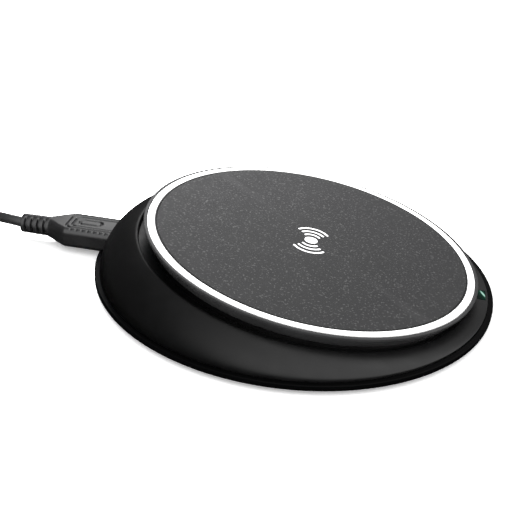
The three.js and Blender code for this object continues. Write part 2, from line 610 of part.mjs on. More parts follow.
const USB_A_SLEEVE = { width: 12, height: 4.5, wall: 0.3, radius: 0.5 };
const usbSpan = [USB_A.tip, USB_A.face - 0.1];
place(farEnd, 'usb_a_shell', 'steel', sleeveAlongX(USB_A_SLEEVE, usbSpan, [USB_A.tip - 1, USB_A.face - 0.6], 0));
place(farEnd, 'usb_a_insert', 'chip', block(USB_A.tip + 0.5, USB_A.face - 0.7, -5.6, 5.6, -1.85, -0.1));

export default pad;
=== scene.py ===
"""A round wedge-shaped wireless charging pad with its micro-USB cable.

Shapes are worked out in millimetres in the part's own frame, and become metres when a mesh is made.
"""

import json
import math

import bmesh
import bpy
from mathutils import Matrix, Vector


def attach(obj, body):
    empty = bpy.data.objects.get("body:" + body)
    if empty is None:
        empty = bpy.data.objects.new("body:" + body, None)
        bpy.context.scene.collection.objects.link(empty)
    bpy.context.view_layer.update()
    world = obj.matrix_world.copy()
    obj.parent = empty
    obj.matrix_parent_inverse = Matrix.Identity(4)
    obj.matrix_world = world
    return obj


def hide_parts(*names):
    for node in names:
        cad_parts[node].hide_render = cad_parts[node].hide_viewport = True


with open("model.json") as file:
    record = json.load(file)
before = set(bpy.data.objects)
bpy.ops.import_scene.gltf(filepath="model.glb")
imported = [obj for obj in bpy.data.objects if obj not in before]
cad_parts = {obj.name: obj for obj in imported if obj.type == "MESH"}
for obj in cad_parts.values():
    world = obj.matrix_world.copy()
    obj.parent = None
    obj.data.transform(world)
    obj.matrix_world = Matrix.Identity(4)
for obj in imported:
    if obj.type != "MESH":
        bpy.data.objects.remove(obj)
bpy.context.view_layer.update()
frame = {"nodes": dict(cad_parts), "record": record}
nodes = frame["nodes"]

MM = 0.001
TAU = 2 * math.pi
ROUND = 192
SHARP_ANGLE = math.radians(38)
PAST_ROUNDING = 1.3

# ---------- dimensions of the casing ----------
BASE_RADIUS = 50.0
UNDERSIDE_Z = 1.0
FLOOR_Z = 1.9
LIP_TOP_Z = 2.4
LIP_INNER_RADIUS = 48.7
SKIRT_RADIUS = 48.6
SKIRT_WALL = 1.85
SKIRT_BOTTOM_Z = 2.05
SKIRT_BEND_Z = 2.72
SKIRT_TURN = math.radians(68)
# radius, x and z of the centre, and tilt in degrees
SHOULDER = (42.31, 2.42, 7.72, 6.8)
GROOVE = (41.75, 2.42, 6.95, 5.95)
EDGE_STEP = 0.14
EDGE_DROP = 0.02
SHELF_THICKNESS = 0.55
SHELF_INNER_RADIUS = 37.6
SHELF_SETBACK = 1.05
DECK_TILT = math.radians(7.07)
DECK = Matrix.Translation((3.94, 0, 11.37)) @ Matrix.Rotation(DECK_TILT, 4, "Y")
NECK_RADIUS = 39.9
NECK_TOP = -3.65
RIM_RADIUS = 42.15
RIM_BORE_RADIUS = 38.6
RIM_BOTTOM = -3.35
RIM_TOP = -0.06
CHANNEL_OUTER_RADIUS = 41.42
CHANNEL_INNER_RADIUS = 39.45
CHANNEL_FLOOR = -0.75
LEDGE_RADIUS = 36.8
LEDGE_TOP = -1.65
LEDGE_BOTTOM = -2.35
PLATE_SEAT_RADIUS = 39.2
PLATE_RADIUS = 39.1
PLATE_THICKNESS = 1.25
GRIP_BOTTOM = -0.65
GRIP_INNER_RADIUS = 39.5
CASE_SCREW_DISTANCE = 39.6
CASE_SCREW_ANGLES = (88, 150, 210, 272)
SCREW_WELL_RADIUS = 2.2
FOOT_DISTANCE = 39.0
FOOT_ANGLES = (45, 135, 225, 315)
FOOT_RADIUS = 4.0
FOOT_TOP = 1.25
FOOT_CLEARANCE = 0.15
FOOT_SEAT_DEPTH = 0.3
WINDOW_X = (46.1, 48.0)
WINDOW_HALF = 2.3
WINDOW_TOP = 2.74
WINDOW_GAP = 0.1
PIPE_START_X = 36.4
PIPE_BOTTOM = 1.5
PIPE_STRIP_TOP = 1.85
LIGHT_CORE = (47.5, 0.6, WINDOW_TOP)
LIGHT_CORE_SIZE = (0.28, 1.6)
LIGHT_CORE_TURN = math.radians(22)

# ---------- dimensions of the cable ----------
PLUG_Z = 4.1
PLUG_WIDTH = 11
PLUG_HEIGHT = 5.4
PLUG_FACE_X = -45.5
PLUG_NECK_X = -64.8
PLUG_END_X = -72.6
POCKET_WIDTH = 11.9
POCKET_HEIGHT = 6.3
POCKET_CORNER = 1.8
POCKET_X = (-60, -44.6)
CABLE_RADIUS = 1.35
COIL_CENTRE = Vector((-116, -6, 0))
WINDING_RADIUS = 16.2
TAIL_X = COIL_CENTRE.x - WINDING_RADIUS - 2 * CABLE_RADIUS
LEAD_ROUTE = (
    (-72.6, 0, 4.13), (-72.9, 0.02, 4.15), (-76, 0.35, 4.25), (-80, 1.25, 4.1), (-84, 2.7, 3.6),
    (-88, 4.6, 2.9), (-92, 6.8, 2.2), (-96, 9.0, 1.65), (-100, 10.95, 1.38), (-104.2, 12.4, 1.36),
    (-110, 12.85, 1.35),
)
TAIL_ROUTE = (
    (TAIL_X, -8.8, 9.42), (TAIL_X, -11.5, 9.25), (TAIL_X, -14.2, 8.8), (TAIL_X, -16.9, 7.9),
    (TAIL_X, -19.5, 6.75), (TAIL_X, -22, 5.6), (TAIL_X, -24.6, 4.65), (TAIL_X, -26.7, 4.15),
    (TAIL_X, -28.4, 4.0),
)
USB_A_Z = 4.0
USB_A_WIDTH = 15.6
USB_A_HEIGHT = 8.0
USB_A_ROOT_X = -33.9
RELIEF_ROOT_RADIUS = 2.6


# ---------- camera ----------
CAMERA_POSITION = Vector((18.394, -194.173, 107.849))
CAMERA_AZIMUTH = math.radians(8.0)
CAMERA_ELEVATION = math.radians(28.06)
CAMERA_ROLL = math.radians(4.65)
CAMERA_LENS = 60.18


def add_camera():
    """A camera in front of the pad and above it, turned a little about its own axis."""
    azimuth, elevation, roll = CAMERA_AZIMUTH, CAMERA_ELEVATION, CAMERA_ROLL
    back = Vector((
        math.sin(azimuth) * math.cos(elevation),
        -math.cos(azimuth) * math.cos(elevation),
        math.sin(elevation),
    ))
    level = Vector((math.cos(azimuth), math.sin(azimuth), 0))
    upright = back.cross(level)
    right = math.cos(roll) * level + math.sin(roll) * upright
    up = math.cos(roll) * upright - math.sin(roll) * level
    data = bpy.data.cameras.new("camera")
    data.lens = CAMERA_LENS
    data.sensor_width = 36.0
    data.clip_start = 0.01
    camera = bpy.data.objects.new("camera", data)
    turn = Matrix((right, up, back)).transposed().to_4x4()
    camera.matrix_world = Matrix.Translation(CAMERA_POSITION * MM) @ turn
    bpy.context.scene.collection.objects.link(camera)
    bpy.context.scene.camera = camera


add_camera()


# ---------- making meshes ----------
def finish_mesh(mesh):
    """Points the faces outwards and smooths all but the sharp edges."""
    bm = bmesh.new()
    bm.from_mesh(mesh)
    bmesh.ops.remove_doubles(bm, verts=bm.verts, dist=1e-7)
    bmesh.ops.dissolve_degenerate(bm, edges=bm.edges, dist=1e-8)
    bmesh.ops.recalc_face_normals(bm, faces=bm.faces)
    bm.to_mesh(mesh)
    bm.free()
    mesh.shade_smooth()
    mesh.set_sharp_from_angle(angle=SHARP_ANGLE)


def blank(name, points, faces, matrix=None):
    """An object made from millimetre points, moved by matrix if there is one."""
    moved = [(matrix @ Vector(p) if matrix else Vector(p)) * MM for p in points]
    mesh = bpy.data.meshes.new(name)
    mesh.from_pydata(moved, [], faces)
    finish_mesh(mesh)
    obj = bpy.data.objects.new(name, mesh)
    bpy.context.scene.collection.objects.link(obj)
    return obj


def skin(rings, closed):
    """Points and faces through rings of equal length.

    The last ring joins the first if closed, or both ends are capped.
    """
    size, count = len(rings[0]), len(rings)
    points = [p for ring in rings for p in ring]
    faces = []
    for i in range(count if closed else count - 1):
        a, b = i * size, (i + 1) % count * size
        for j in range(size):
            k = (j + 1) % size
            faces.append((a + j, a + k, b + k, b + j))
    if not closed:
        faces.append(tuple(reversed(range(size))))
        faces.append(tuple(range((count - 1) * size, count * size)))
    return points, faces


def softened(corners, radius, steps=5):
    """A closed outline whose corners are rounded. A corner's third value is its own radius.

    A point just past each rounding keeps the flat beside it flat when it is smoothed.
    """
    outline = []
    count = len(corners)
    for i, corner in enumerate(corners):
        here = Vector(corner[:2])
        before = Vector(corners[i - 1][:2]) - here
        after = Vector(corners[(i + 1) % count][:2]) - here
        own = corner[2] if len(corner) > 2 else radius
        cut = min(own, before.length * 0.49, after.length * 0.49)
        if own == 0 or here.x == 0:
            outline.append(here)
            continue
        start = here + before.normalized() * cut
        end = here + after.normalized() * cut
        if before.length > 4 * cut:
            outline.append(here + before.normalized() * cut * PAST_ROUNDING)
        for s in range(steps + 1):
            t = s / steps
            outline.append((1 - t) ** 2 * start + 2 * t * (1 - t) * here + t * t * end)
        if after.length > 4 * cut:
            outline.append(here + after.normalized() * cut * PAST_ROUNDING)
    return outline


def turned(corners, radius=0.12, segments=ROUND, steps=5):
    """Points and faces of a solid of revolution about +Z, from (radius, z) corners."""
    outline = softened(corners, radius, steps)
    rings = []
    for r, z in outline:
        angles = [TAU * j / segments for j in range(segments)]
        rings.append([(r * math.cos(a), r * math.sin(a), z) for a in angles])
    return skin(rings, closed=True)


def rounded_rectangle(width, height, radius, count):
    """Points spaced evenly round a rounded rectangle that is centred on (0, 0)."""
    w, h = width / 2 - radius, height / 2 - radius
    dense = []
    for cx, cy, start in ((w, h, 0), (-w, h, 90), (-w, -h, 180), (w, -h, 270)):
        for s in range(17):
            a = math.radians(start + 90 * s / 16)
            dense.append(Vector((cx + radius * math.cos(a), cy + radius * math.sin(a))))
    lengths = [(dense[(i + 1) % len(dense)] - p).length for i, p in enumerate(dense)]
    total, out, i, walked = sum(lengths), [], 0, 0.0
    for n in range(count):
        target = total * n / count
        while walked + lengths[i] < target:
            walked += lengths[i]
            i += 1
        t = (target - walked) / max(lengths[i], 1e-9)
        out.append(dense[i].lerp(dense[(i + 1) % len(dense)], t))
    return out


def block(x0, x1, y0, y1, z0, z1):
    """Points and faces of a box."""
    corners = [(x, y, z) for x in (x0, x1) for y in (y0, y1) for z in (z0, z1)]
    faces = [(0, 1, 3, 2), (4, 6, 7, 5), (0, 4, 5, 1), (2, 3, 7, 6), (0, 2, 6, 4), (1, 5, 7, 3)]
    return corners, faces


def bar_along_x(section, x0, x1, z):
    """Points and faces of a bar from x0 to x1, from a section in the y-z plane."""
    return skin([[(x, p.x, z + p.y) for p in section] for x in (x0, x1)], closed=False)


def peg(x, y, radius, z0, z1, segments=48):
    """Points and faces of an upright cylinder."""
    rings = []
    for z in (z0, z1):
        angles = [TAU * j / segments for j in range(segments)]
        rings.append([(x + radius * math.cos(a), y + radius * math.sin(a), z) for a in angles])
    return skin(rings, closed=False)


def carve(obj, cutters):
    """Cuts shapes, which don't touch each other, out of an object."""
    points, faces = [], []
    for more_points, more_faces in cutters:
        faces += [tuple(len(points) + i for i in face) for face in more_faces]
        points += more_points
    tool = blank("cutter", points, faces)
    modifier = obj.modifiers.new("cut", "BOOLEAN")
    modifier.object = tool
    modifier.solver = "EXACT"
    seen = obj.evaluated_get(bpy.context.evaluated_depsgraph_get())
    mesh = bpy.data.meshes.new_from_object(seen)
    obj.modifiers.clear()
    obj.data = mesh
    bpy.data.objects.remove(tool)
    mesh.shade_smooth()
    mesh.set_sharp_from_angle(angle=SHARP_ANGLE)


def piece(obj, body, finish, cad=()):
    """Makes obj part of the object: its body, its finish, and the CAD nodes that it stands for."""
    obj.data.materials.clear()
    obj.data.materials.append(MATERIALS[finish])
    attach(obj, body)
    if cad:
        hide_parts(*([cad] if isinstance(cad, str) else cad))
    return obj


# ---------- materials ----------
def new_material(name):
    """A node material, with its nodes, its links and its shader."""
    material = bpy.data.materials.new(name)
    material.use_nodes = True
    tree = material.node_tree
    return material, tree.nodes, tree.links, tree.nodes["Principled BSDF"]


def noise(tree_nodes, links, where, scale, detail=3.0, stretch=None):
    """A noise factor with features about 1/scale metres across."""
    source = where
    if stretch:
        mapping = tree_nodes.new("ShaderNodeMapping")
        mapping.inputs["Scale"].default_value = stretch
        links.new(where, mapping.inputs["Vector"])
        source = mapping.outputs["Vector"]
    texture = tree_nodes.new("ShaderNodeTexNoise")
    texture.inputs["Scale"].default_value = scale
    texture.inputs["Detail"].default_value = detail
    links.new(source, texture.inputs["Vector"])
    return texture.outputs["Fac"]


def ranged(tree_nodes, links, factor, low, high, to_low, to_high):
    """A factor whose range from low to high becomes to_low to to_high."""
    node = tree_nodes.new("ShaderNodeMapRange")
    for socket, value in zip(("From Min", "From Max", "To Min", "To Max"), (low, high, to_low, to_high)):
        node.inputs[socket].default_value = value
    links.new(factor, node.inputs["Value"])
    return node.outputs["Result"]


def mixed(tree_nodes, links, factor, first, second, blend="MIX"):
    """A colour between first and second, each a colour or a socket."""
    node = tree_nodes.new("ShaderNodeMix")
    node.data_type = "RGBA"
    node.blend_type = blend
    links.new(factor, node.inputs[0])
    for index, value in ((6, first), (7, second)):
        if isinstance(value, bpy.types.NodeSocket):
            links.new(value, node.inputs[index])
        else:
            node.inputs[index].default_value = (*value, 1)
    return node.outputs[2]


def shade(color, amount):
    """A colour made darker or lighter."""
    return tuple(min(1.0, c * amount) for c in color)


EDGE_POINTINESS = (0.52, 0.62)
WORN_SHADE = 1.9
SPECK_SIZE = 0.6
SPECK_SOFTNESS = 0.05
SPECK_STRENGTH = 0.7
SMUDGE_SIZE = 2.2
GRAIN_STRENGTH = 0.5


def moulded(name, color, roughness, spread=0.12, grain=2600, grain_height=0.004, wear=0.0, specular=0.5,
            metallic=0.0, gritty=0.05, stretch=None, sheen=0.0, speckle=None, worn=None, patch=130):
    """A surface with cloudy colour, fine moulding grain, uneven gloss and rubbed edges."""
    material, tree_nodes, links, shader = new_material(name)
    where = tree_nodes.new("ShaderNodeTexCoord").outputs["Object"]
    cloud = ranged(tree_nodes, links, noise(tree_nodes, links, where, patch), 0.3, 0.7, 0, 1)
    tone = mixed(tree_nodes, links, cloud, shade(color, 1 - spread), shade(color, 1 + spread))
    fine = noise(tree_nodes, links, where, grain, 4.0, stretch)
    if speckle:
        speck_color, threshold = speckle
        specks = ranged(tree_nodes, links, noise(tree_nodes, links, where, grain * SPECK_SIZE, 1.0), threshold,
                        threshold + SPECK_SOFTNESS, 0, SPECK_STRENGTH)
        tone = mixed(tree_nodes, links, specks, tone, speck_color)
    if wear:
        pointed = tree_nodes.new("ShaderNodeNewGeometry").outputs["Pointiness"]
        edge = ranged(tree_nodes, links, pointed, *EDGE_POINTINESS, 0, wear)
        tone = mixed(tree_nodes, links, edge, tone, worn or shade(color, WORN_SHADE))
    links.new(tone, shader.inputs["Base Color"])
    smudge = noise(tree_nodes, links, where, patch * SMUDGE_SIZE, 4.0, stretch)
    rough = ranged(tree_nodes, links, smudge, 0.25, 0.75, roughness - gritty, roughness + gritty)
    links.new(rough, shader.inputs["Roughness"])
    bump = tree_nodes.new("ShaderNodeBump")
    bump.inputs["Strength"].default_value = GRAIN_STRENGTH
    bump.inputs["Distance"].default_value = grain_height * MM
    links.new(fine, bump.inputs["Height"])
    links.new(bump.outputs["Normal"], shader.inputs["Normal"])
    shader.inputs["Specular IOR Level"].default_value = specular
    shader.inputs["Metallic"].default_value = metallic
    if sheen:
        shader.inputs["Sheen Weight"].default_value = sheen
        shader.inputs["Sheen Roughness"].default_value = 0.5
    return material


def lit_plastic():
    """A tinted light pipe lit from below: a pale line along its outer side that fades into dark green."""
    material, tree_nodes, links, shader = new_material("light_plastic")
    where = tree_nodes.new("ShaderNodeTexCoord").outputs["Object"]
    cloud = noise(tree_nodes, links, where, 900)
    tint = mixed(tree_nodes, links, cloud, (0.001, 0.005, 0.0035), (0.002, 0.009, 0.006))
    links.new(tint, shader.inputs["Base Color"])
    centred = tree_nodes.new("ShaderNodeMapping")
    centred.vector_type = "TEXTURE"
    centred.inputs["Location"].default_value = Vector(LIGHT_CORE) * MM
    centred.inputs["Rotation"].default_value = (0, 0, LIGHT_CORE_TURN)
    centred.inputs["Scale"].default_value = (*(size * MM for size in LIGHT_CORE_SIZE), 1)
    links.new(where, centred.inputs["Vector"])
    off_core = tree_nodes.new("ShaderNodeVectorMath")
    off_core.operation = "LENGTH"
    links.new(centred.outputs["Vector"], off_core.inputs[0])
    core = ranged(tree_nodes, links, off_core.outputs["Value"], 0.55, 1.25, 1, 0)
    halo = ranged(tree_nodes, links, off_core.outputs["Value"], 1.0, 5.0, 1, 0)
    glow = mixed(tree_nodes, links, halo, (0.0, 0.0015, 0.001), (0.0, 0.028, 0.014))
    links.new(mixed(tree_nodes, links, core, glow, (0.42, 0.72, 0.60)), shader.inputs["Emission Color"])
    shader.inputs["Emission Strength"].default_value = 1.0
    shader.inputs["Specular IOR Level"].default_value = 0.04
    links.new(ranged(tree_nodes, links, cloud, 0.3, 0.7, 0.4, 0.6), shader.inputs["Roughness"])
    bump = tree_nodes.new("ShaderNodeBump")
    bump.inputs["Distance"].default_value = 0.003 * MM
    links.new(noise(tree_nodes, links, where, 3000), bump.inputs["Height"])
    links.new(bump.outputs["Normal"], shader.inputs["Normal"])
    return material


def laminate():
    """Green solder mask with darker bare gaps and paler buried tracks."""
    material, tree_nodes, links, shader = new_material("board_laminate")
    where = tree_nodes.new("ShaderNodeTexCoord").outputs["Object"]
    tracks = tree_nodes.new("ShaderNodeTexBrick")
    tracks.inputs["Scale"].default_value = 420
    tracks.inputs["Mortar Size"].default_value = 0.03
    tracks.inputs["Color1"].default_value = (0.012, 0.10, 0.045, 1)
    tracks.inputs["Color2"].default_value = (0.018, 0.13, 0.055, 1)
    tracks.inputs["Mortar"].default_value = (0.06, 0.22, 0.11, 1)
    links.new(where, tracks.inputs["Vector"])
    cloud = noise(tree_nodes, links, where, 500)
    mask = mixed(tree_nodes, links, cloud, tracks.outputs["Color"], (0.01, 0.07, 0.03))
    links.new(mask, shader.inputs["Base Color"])
    links.new(ranged(tree_nodes, links, cloud, 0.3, 0.7, 0.28, 0.42), shader.inputs["Roughness"])
    bump = tree_nodes.new("ShaderNodeBump")
    bump.inputs["Distance"].default_value = 0.03 * MM
    links.new(tracks.outputs["Fac"], bump.inputs["Height"])
    links.new(bump.outputs["Normal"], shader.inputs["Normal"])
    return material


def wound_copper():
    """Enamelled strands laid in rings about the deck's axis."""
    material, tree_nodes, links, shader = new_material("copper_wire")
    where = tree_nodes.new("ShaderNodeTexCoord").outputs["Object"]
    centred = tree_nodes.new("ShaderNodeMapping")
    centred.vector_type = "TEXTURE"
    centred.inputs["Location"].default_value = DECK.to_translation() * MM
    centred.inputs["Rotation"].default_value = (0, DECK_TILT, 0)
    links.new(where, centred.inputs["Vector"])
    turns = tree_nodes.new("ShaderNodeTexWave")
    turns.wave_type = "RINGS"
    turns.rings_direction = "Z"
    turns.inputs["Scale"].default_value = 260
    turns.inputs["Distortion"].default_value = 0.6
    links.new(centred.outputs["Vector"], turns.inputs["Vector"])
    ring = turns.outputs["Fac"]
    metal = mixed(tree_nodes, links, ring, (0.18, 0.055, 0.02), (0.72, 0.32, 0.14))
    links.new(metal, shader.inputs["Base Color"])
    shader.inputs["Metallic"].default_value = 0.85
    links.new(ranged(tree_nodes, links, ring, 0, 1, 0.5, 0.3), shader.inputs["Roughness"])
    bump = tree_nodes.new("ShaderNodeBump")
    bump.inputs["Distance"].default_value = 0.12 * MM
    links.new(ring, bump.inputs["Height"])
    links.new(bump.outputs["Normal"], shader.inputs["Normal"])
    return material


MATERIALS = {
    "base_plastic": moulded("base_plastic", (0.0012, 0.0012, 0.0013), 0.34, grain_height=0.002, specular=0.03,
                            wear=0.3),
    "shell_plastic": moulded("shell_plastic", (0.0014, 0.0014, 0.0015), 0.4, wear=0.25, specular=0.35),
    "rim_plastic": moulded("rim_plastic", (0.022, 0.022, 0.0225), 0.42, wear=0.2, specular=0.3),
    "plate_plastic": moulded("plate_plastic", (0.019, 0.019, 0.0195), 0.5, specular=0.15, spread=0.04,
                             grain=3200, grain_height=0.006, speckle=((0.06, 0.06, 0.06), 0.62), wear=0.3),
    "white_silicone": moulded("white_silicone", (0.93, 0.93, 0.925), 0.5, spread=0.02, grain=1800,
                              speckle=((0.82, 0.82, 0.8), 0.72)),
    "black_rubber": moulded("black_rubber", (0.014, 0.014, 0.014), 0.75, spread=0.2, grain_height=0.015,
                            gritty=0.1, speckle=((0.03, 0.03, 0.03), 0.6), wear=0.3),
    "cable_plastic": moulded("cable_plastic", (0.006, 0.006, 0.0064), 0.35, specular=1.0, spread=0.1,
                             grain_height=0.008, wear=0.45, worn=(0.09, 0.09, 0.092)),
    "board_laminate": laminate(),
    "chip_plastic": moulded("chip_plastic", (0.016, 0.016, 0.017), 0.55, grain_height=0.01,
                            speckle=((0.04, 0.04, 0.04), 0.62), wear=0.4),
    "ceramic": moulded("ceramic", (0.33, 0.21, 0.12), 0.45, spread=0.18, grain=5000,
                       speckle=((0.2, 0.12, 0.07), 0.62), wear=0.4),
    "ferrite": moulded("ferrite", (0.035, 0.035, 0.038), 0.6, spread=0.2, grain_height=0.03,
                       speckle=((0.09, 0.09, 0.095), 0.6), wear=0.5),
    "adhesive_foam": moulded("adhesive_foam", (0.68, 0.68, 0.62), 0.8, grain=3500, grain_height=0.06,
                             speckle=((0.45, 0.45, 0.4), 0.6)),
    "holder_plastic": moulded("holder_plastic", (0.72, 0.72, 0.68), 0.45, spread=0.05, wear=0.3,
                              worn=(0.85, 0.85, 0.82)),
    "light_plastic": lit_plastic(),
    "wire_insulation": moulded("wire_insulation", (0.36, 0.02, 0.02), 0.4, spread=0.15, wear=0.3),
    "copper_wire": wound_copper(),
    "plated_steel": moulded("plated_steel", (0.56, 0.55, 0.53), 0.3, spread=0.08, metallic=1.0, grain=1500,
                            grain_height=0.004, stretch=(0.12, 1, 1), gritty=0.1, wear=0.4,
                            worn=(0.75, 0.74, 0.72)),
    "mark_ink": moulded("mark_ink", (0.84, 0.84, 0.84), 0.55, spread=0.04, grain=4000, grain_height=0.003,
                        speckle=((0.6, 0.6, 0.6), 0.7)),
}
for entry in frame["record"]["subparts"]:
    data = nodes[entry["node"]].data
    data.materials.clear()
    data.materials.append(MATERIALS[entry["material_slot"]])


# ---------- cable ----------
TIE_ANGLE = 270
TIE_LIFT = 0.9
TIE_LIFT_REACH = 35
SLACK = 0.05


def winding():
    """The turns of the coil, from where the lead touches it to where the tail leaves it.

    Each turn lies in one column and row of the stack and then slides over to the next. The tie lifts them.
    """
    d = 2 * CABLE_RADIUS
    columns = [WINDING_RADIUS + d, WINDING_RADIUS, WINDING_RADIUS - d]
    rows = [CABLE_RADIUS + d * i for i in range(4)]
    order = [(0, 0), (1, 0), (2, 0), (2, 1), (2, 2), (1, 2), (1, 1), (0, 1), (0, 2), (0, 3)]
    per_turn, full_turns = 36, 9
    first, window, stagger = 90, 50, 22
    route = []
    for step in range(full_turns * per_turn + per_turn // 4 + 1):
        turn, part = divmod(step, per_turn)
        swept = 360 * part / per_turn
        shift = 0.0
        if turn < full_turns:
            start = first + stagger * (full_turns - 1 - turn)
            along = min(1.0, max(0.0, (swept - start) / window))
            shift = (1 - math.cos(math.pi * along)) / 2
        here, there = order[turn], order[min(turn + 1, full_turns)]
        radius = columns[here[0]] * (1 - shift) + columns[there[0]] * shift
        height = rows[here[1]] * (1 - shift) + rows[there[1]] * shift
        angle = math.radians(90 + swept)
        from_tie = (90 + swept - TIE_ANGLE) % 360
        from_tie = min(from_tie, 360 - from_tie)
        lift = TIE_LIFT * math.exp(-((from_tie / TIE_LIFT_REACH) ** 2))
        radius += SLACK * math.sin(2 * angle + 1.7 * turn)
        route.append(COIL_CENTRE + Vector((radius * math.cos(angle), radius * math.sin(angle), height + lift)))
    return route


def smooth_route(route, steps):
    """A Catmull-Rom curve through every point of a route."""
    points = [Vector(p) for p in route]
    out = []
    for i in range(len(points) - 1):
        a, b = points[max(i - 1, 0)], points[i]
        c, d = points[i + 1], points[min(i + 2, len(points) - 1)]
        for s in range(steps):
            t = s / steps
            out.append(0.5 * (2 * b + (c - a) * t + (2 * a - 5 * b + 4 * c - d) * t * t
                              + (3 * b - a - 3 * c + d) * t ** 3))
    return out + [points[-1]]


def tube(name, path, radius, sides):
    """A round tube whose sections turn as little as they can along the path."""
    rings = []
    side = Vector((0, 0, 1))
    for i, here in enumerate(path):
        ahead = (path[min(i + 1, len(path) - 1)] - path[max(i - 1, 0)]).normalized()
        side = (side - ahead * side.dot(ahead)).normalized()
        other = ahead.cross(side)
        angles = [TAU * j / sides for j in range(sides)]
        rings.append([here + radius * (math.cos(a) * side + math.sin(a) * other) for a in angles])
    return blank(name, *skin(rings, closed=False))


cable_path = smooth_route([*LEAD_ROUTE, *winding(), *TAIL_ROUTE], 2)
cable = tube("charging_cable", cable_path, CABLE_RADIUS, 20)
piece(cable, "cable", "cable_plastic", ("cable_lead", "cable_coil", "cable_tail"))


# ---------- plugs ----------
def lofted(name, keys, count, pitch, relief=None, matrix=None):
    """A bar along -X through (x, width, height, corner radius) keys, dented top and bottom by relief(x, y)."""
    rings = []
    stops = [keys[0][0]]
    for (x0, *_), (x1, *_) in zip(keys, keys[1:]):
        pieces = max(1, round((x0 - x1) / pitch))
        stops += [x0 + (x1 - x0) * (i + 1) / pieces for i in range(pieces)]
    for x in stops:
        i = max(j for j in range(len(keys) - 1) if keys[j][0] >= x)
        t = (x - keys[i][0]) / (keys[i + 1][0] - keys[i][0])
        width, height, radius = (keys[i][k] + (keys[i + 1][k] - keys[i][k]) * t for k in (1, 2, 3))
        radius = min(radius, height / 2 - 0.01, width / 2 - 0.01)
        ring = []
        for y, z in rounded_rectangle(width, height, radius, count):
            if relief:
                flat = min(1.0, max(0.0, (abs(z) - height * 0.42) / (height * 0.07)))
                z -= math.copysign(flat * relief(x, y), z)
            ring.append((x, y, z))
        rings.append(ring)
    return blank(name, *skin(rings, closed=False), matrix)


def groove(distance, half_width, depth):
    """How deep a round-bottomed groove is, at a distance from its middle."""
    t = min(1.0, max(0.0, (abs(distance) - half_width * 0.35) / (half_width * 0.9)))
    return depth * (1 - t * t * (3 - 2 * t))


def slot_outline(x, y, x0, x1, half, corner):
    """The distance from (x, y) to the outline of a rounded rectangle."""
    dx = abs(x - (x0 + x1) / 2) - (x1 - x0) / 2 + corner
    dy = abs(y) - half + corner
    outside = math.hypot(max(dx, 0), max(dy, 0))
    return outside + min(max(dx, dy), 0) - corner


def micro_relief(x, y):
    """Two nested outlines, open towards the pad, a grooved pill inside them, and notches near the edges."""
    cut = max(
        groove(slot_outline(x, y, -59.6, -40, 3.75, 1.6), 0.34, 0.4),
        groove(slot_outline(x, y, -58.3, -40, 2.65, 1.2), 0.3, 0.35),
        groove(slot_outline(x, y, -56.8, -51.0, 1.2, 1.1), 0.34, 0.38),
    )
    if 4.3 < abs(y) < 4.95 and -58.5 < x < -46:
        cut = max(cut, groove((x + 58.5) % 1.5 - 0.75, 0.3, 0.22))
    return cut


at_plug = Matrix.Translation((0, 0, PLUG_Z))
micro_body = lofted("micro_plug_grip", [
    (PLUG_FACE_X, 10.3, 4.7, 1.1), (-45.6, 10.7, 5.1, 1.25), (-45.85, PLUG_WIDTH, PLUG_HEIGHT, 1.4),
    (-59.3, PLUG_WIDTH, PLUG_HEIGHT, 1.4), (-59.7, 10.85, PLUG_HEIGHT, 1.45), (-60.2, 10.3, PLUG_HEIGHT, 1.55),
    (-62, 8.5, 5.38, 1.8), (-63.4, 7.1, 5.3, 2.2), (-64.3, 6.25, 5.22, 2.4), (PLUG_NECK_X, 6, 5.2, 2.5),
], 216, 0.13, micro_relief, at_plug)
piece(micro_body, "cable", "cable_plastic", "micro_plug_body")


RELIEF_EDGE = 0.25
RELIEF_SLOTS = 4
RELIEF_SLOT_DEPTH = 0.75
RELIEF_SLOT_HALF_WIDTH = 0.4
RELIEF_CORE = 0.9


def strain_relief(name, length, root, tip, slots, cable_radius, matrix):
    """A ribbed bush along -X. Two webs join its ribs."""
    sides = 64
    pitch = length / (slots + 0.6)
    rings = []
    steps = round(length / 0.09)
    for i in range(steps + 1):
        x = length * i / steps
        outer = root + (tip - root) * x / length
        edge = min(x, length - x)
        if edge < RELIEF_EDGE:
            outer -= RELIEF_EDGE - math.sqrt(max(0.0, RELIEF_EDGE ** 2 - (RELIEF_EDGE - edge) ** 2))
        nearest = min(abs(x - pitch * (s + 0.72)) for s in range(slots))
        ring = []
        for j in range(sides):
            a = TAU * j / sides
            web = min(1.0, max(0.0, (abs(math.sin(a)) - 0.86) / 0.09))
            depth = groove(nearest, RELIEF_SLOT_HALF_WIDTH, RELIEF_SLOT_DEPTH) * (1 - web)
            r = max(outer - depth, cable_radius * RELIEF_CORE)
            ring.append((-x, r * math.cos(a), r * math.sin(a)))
        rings.append(ring)
    return blank(name, *skin(rings, closed=False), matrix)


relief_at = Matrix.Translation((PLUG_NECK_X, 0, PLUG_Z))
micro_bush = strain_relief("micro_plug_bush", PLUG_NECK_X - PLUG_END_X, RELIEF_ROOT_RADIUS, 2.5, RELIEF_SLOTS,
                           CABLE_RADIUS, relief_at)
piece(micro_bush, "cable", "cable_plastic", "micro_strain_relief")


